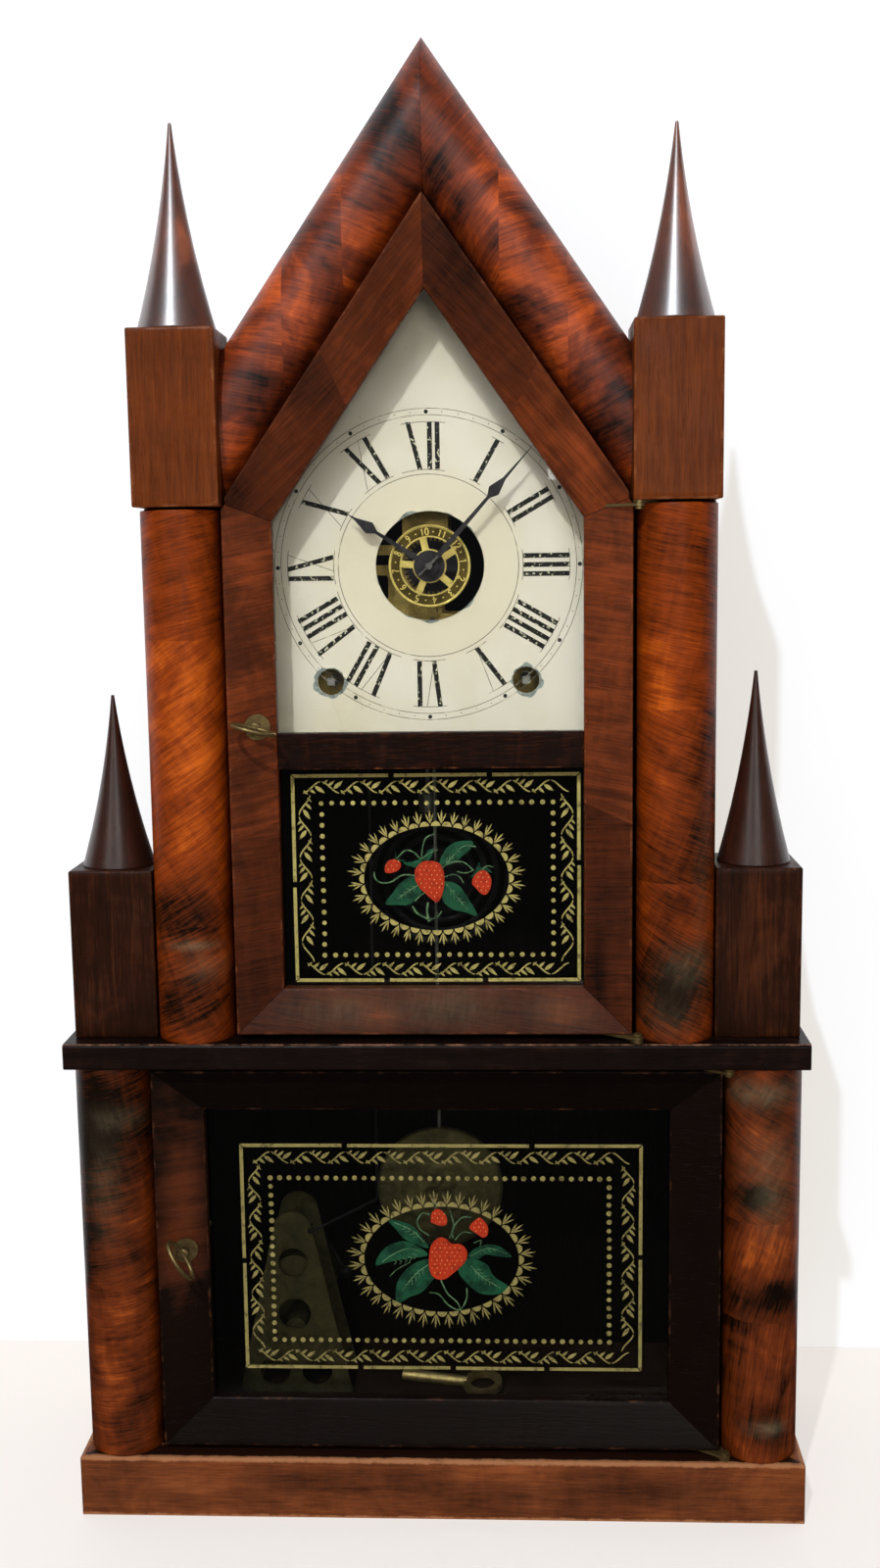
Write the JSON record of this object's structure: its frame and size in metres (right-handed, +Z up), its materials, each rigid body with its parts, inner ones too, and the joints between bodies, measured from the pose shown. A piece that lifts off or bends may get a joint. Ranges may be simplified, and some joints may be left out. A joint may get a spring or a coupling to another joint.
{
  "type": "steeple clock",
  "caption": "Wooden double steeple clock: gabled case with spires, half-round columns, glazed upper and lower doors, painted dial, pendulum, gong and alarm.",
  "frame": {"origin": "centre of the underside, midway between the ends and between the front and the back of the base", "axes": "+X to the right and +Y into the clock as seen from the front, +Z up"},
  "size_m": [0.334, 0.1289, 0.6571],
  "materials": {
    "column_veneer": "semi-gloss shellac over figured mahogany veneer",
    "block_veneer": "semi-gloss shellac over straight-grained mahogany veneer",
    "dark_veneer": "semi-gloss shellac over dark rosewood-like veneer",
    "moulding_veneer": "semi-gloss shellac over cloudy dark veneer",
    "upper_door_veneer": "semi-gloss shellac over reddish-brown veneer",
    "lower_door_veneer": "semi-gloss shellac over very dark veneer",
    "plinth_veneer": "semi-gloss shellac over cloudy mahogany veneer, worn at the edges",
    "shelf_veneer": "semi-gloss, nearly black, worn at the edges",
    "stained_pine": "satin stain over pine boards",
    "clear_glass": "clear old sheet glass",
    "painted_glass": "clear sheet glass painted on its back",
    "aged_brass": "aged, slightly dull",
    "bright_brass": "polished, with light marks",
    "movement_brass": "satin, slightly tarnished",
    "dial_paint": "matte cream paint on sheet metal",
    "blued_steel": "dark blued steel",
    "steel": "plain steel, slightly dull",
    "iron": "dull dark iron"
  },
  "bodies": {
    "case": {"plinth": "plinth_veneer", "base_board": "stained_pine", "lower_sides": "stained_pine", "lower_front_frame": "lower_door_veneer", "lower_column_left": "column_veneer", "lower_column_right": "column_veneer", "shelf": "shelf_veneer", "small_block_left": "dark_veneer", "small_block_right": "dark_veneer", "small_spire_left": "dark_veneer", "small_spire_right": "dark_veneer", "upper_sides": "stained_pine", "upper_front_frame": "upper_door_veneer", "upper_column_left": "column_veneer", "upper_column_right": "column_veneer", "upper_block_left": "block_veneer", "upper_block_right": "block_veneer", "tall_spire_left": "dark_veneer", "tall_spire_right": "dark_veneer", "gable_moulding_left": "moulding_veneer", "gable_moulding_right": "moulding_veneer", "roof_boards": "stained_pine", "back_boards": "stained_pine", "case_hinge_leaves": "aged_brass", "dial": "dial_paint", "front_plate": "movement_brass", "back_plate": "movement_brass", "plate_pillars": "movement_brass", "gong": "blued_steel", "gong_base": "iron", "alarm_movement": "movement_brass", "alarm_bell": "aged_brass", "alarm_trip_wire": "steel", "winding_key": "aged_brass"},
    "upper_door": {"upper_door_stiles": "upper_door_veneer", "upper_door_gable_rails": "upper_door_veneer", "upper_door_cross_rails": "upper_door_veneer", "dial_glass": "clear_glass", "upper_tablet": "painted_glass", "upper_door_hinge_leaves": "aged_brass", "upper_latch_plate": "aged_brass"},
    "lower_door": {"lower_door_stiles": "lower_door_veneer", "lower_door_rails": "lower_door_veneer", "lower_tablet": "painted_glass", "lower_door_hinge_leaves": "aged_brass", "lower_latch_plate": "aged_brass"},
    "upper_catch": {"upper_latch": "aged_brass"},
    "lower_catch": {"lower_latch": "aged_brass"},
    "centre": {"centre_arbor": "steel", "minute_hand": "blued_steel"},
    "hour": {"hour_hand": "blued_steel"},
    "alarm_setting": {"alarm_disc": "bright_brass"},
    "time_winder": {"time_winding_arbor": "movement_brass"},
    "strike_winder": {"strike_winding_arbor": "movement_brass"},
    "escape": {"escape_wheel": "movement_brass"},
    "pendulum": {"pendulum_rod": "steel", "pendulum_bob": "aged_brass"},
    "anchor": {"verge": "steel"},
    "strike_striker": {"strike_hammer": "steel"},
    "alarm_striker": {"alarm_hammer": "steel"}
  },
  "joints": [
    {"name": "upper_door_swing", "type": "hinge", "parent": "case", "child": "upper_door", "pos_m": [0.0904, -0.0562, 0.2291], "axis": [0, 0, 1], "range_deg": [0, 105]},
    {"name": "lower_door_swing", "type": "hinge", "parent": "case", "child": "lower_door", "pos_m": [0.1308, -0.0562, 0.0313], "axis": [0, 0, 1], "range_deg": [0, 105]},
    {"name": "upper_latch_turn", "type": "hinge", "parent": "upper_door", "child": "upper_catch", "pos_m": [-0.0758, -0.045, 0.368], "axis": [0, -1, 0], "range_deg": [0, 104]},
    {"name": "lower_latch_turn", "type": "hinge", "parent": "lower_door", "child": "lower_catch", "pos_m": [-0.1162, -0.045, 0.1264], "axis": [0, -1, 0], "range_deg": [0, 148]},
    {"name": "minute_hand_turn", "type": "hinge", "parent": "case", "child": "centre", "pos_m": [0, 0, 0.4369], "axis": [0, 1, 0], "continuous": true},
    {"name": "hour_hand_turn", "type": "hinge", "parent": "case", "child": "hour", "pos_m": [0, -0.004, 0.4369], "axis": [0, 1, 0], "continuous": true},
    {"name": "alarm_disc_turn", "type": "hinge", "parent": "hour", "child": "alarm_setting", "pos_m": [0, -0.028, 0.4369], "axis": [0, 1, 0], "continuous": true},
    {"name": "time_winding_turn", "type": "hinge", "parent": "case", "child": "time_winder", "pos_m": [0.0425, 0, 0.3856], "axis": [0, 1, 0], "continuous": true},
    {"name": "strike_winding_turn", "type": "hinge", "parent": "case", "child": "strike_winder", "pos_m": [-0.0455, 0, 0.3856], "axis": [0, 1, 0], "continuous": true},
    {"name": "escape_wheel_turn", "type": "hinge", "parent": "case", "child": "escape", "pos_m": [0, 0, 0.39], "axis": [0, 1, 0], "continuous": true},
    {"name": "pendulum_swing", "type": "hinge", "parent": "case", "child": "pendulum", "pos_m": [0, -0.013, 0.412], "axis": [0, 1, 0], "range_deg": [-4, 4]},
    {"name": "verge_rock", "type": "hinge", "parent": "case", "child": "anchor", "pos_m": [0, -0.00125, 0.412], "axis": [0, 1, 0], "range_deg": [-4, 4]},
    {"name": "strike_hammer_lift", "type": "hinge", "parent": "case", "child": "strike_striker", "pos_m": [-0.006, 0, 0.366], "axis": [0, -1, 0], "range_deg": [0, 15]},
    {"name": "alarm_hammer_lift", "type": "hinge", "parent": "case", "child": "alarm_striker", "pos_m": [-0.0675, 0.025, 0.107], "axis": [0, -1, 0], "range_deg": [0, 20]}
  ],
  "couplings": [
    {"joint": "hour_hand_turn", "follows": "minute_hand_turn", "ratio": 0.083333},
    {"joint": "verge_rock", "follows": "pendulum_swing", "ratio": 1}
  ]
}
